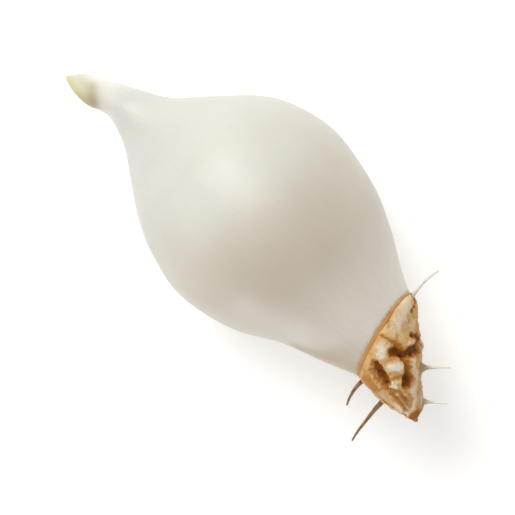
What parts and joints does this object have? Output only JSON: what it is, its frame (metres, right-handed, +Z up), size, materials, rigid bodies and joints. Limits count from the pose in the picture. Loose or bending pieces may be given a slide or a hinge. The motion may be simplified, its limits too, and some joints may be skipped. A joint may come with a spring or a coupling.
{
  "type": "pearl onion",
  "caption": "White pearl onion lying on its side, with a round bulb, a bent neck with a dried slanting tip, and a dry brown root plate with short roots.",
  "frame": {"origin": "centre of the small flat spot under the belly, which the onion rests on", "axes": "+X along the onion from the roots to the neck, +Y to its left, towards which the neck's tip bends, +Z up"},
  "size_m": [0.0466, 0.021, 0.0204],
  "materials": {
    "bulb_skin": "satin",
    "dry_root": "matte"
  },
  "bodies": {
    "root": {"bulb": "bulb_skin", "root_plate": "dry_root"}
  },
  "joints": []
}
